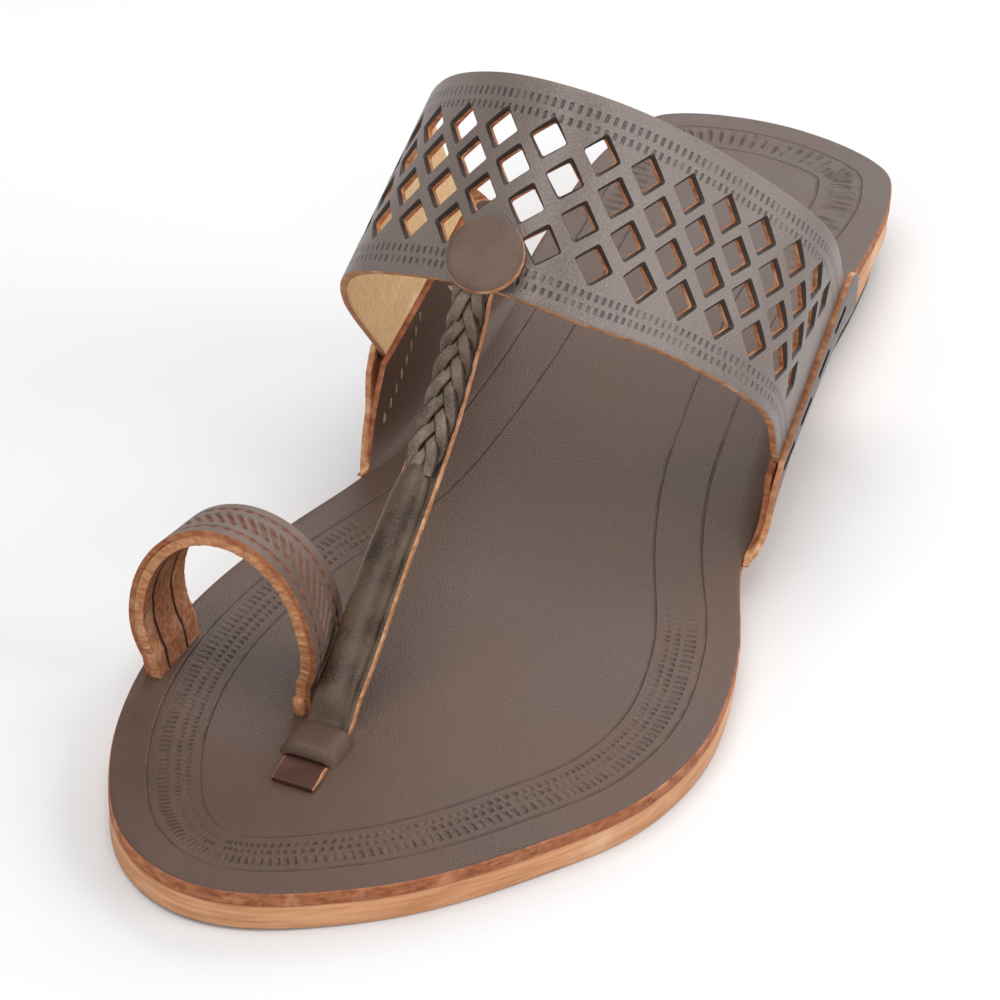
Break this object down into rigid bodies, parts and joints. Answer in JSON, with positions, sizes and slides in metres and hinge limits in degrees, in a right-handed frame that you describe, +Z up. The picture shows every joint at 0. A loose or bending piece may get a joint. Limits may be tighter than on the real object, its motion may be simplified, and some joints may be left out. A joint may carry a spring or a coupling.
{
  "type": "kolhapuri sandal",
  "caption": "Left-foot leather slide sandal with a pierced band over the instep, a plaited toe strap, a toe ring and a low stacked heel.",
  "frame": {"origin": "under the middle of the sandal's box, on the floor it stands on", "axes": "+Z up, +Y towards the heel, toes at -Y, +X towards the outer (little toe) side of this left foot"},
  "size_m": [0.0964, 0.27, 0.101],
  "materials": {
    "dark_leather": "dark brown grained vegetable-tanned leather with tan cut edges",
    "sole_leather": "smooth orange-tan vegetable-tanned sole leather",
    "heel_rubber": "matt black rubber"
  },
  "bodies": {
    "root": {"outsole": "sole_leather", "insole": "dark_leather", "outer_ear_medial": "dark_leather", "outer_ear_lateral": "dark_leather", "heel_top_lift": "heel_rubber", "heel_lift_1": "sole_leather", "heel_lift_2": "sole_leather", "upper": "dark_leather", "toe_ring": "dark_leather", "button": "dark_leather"}
  },
  "joints": []
}
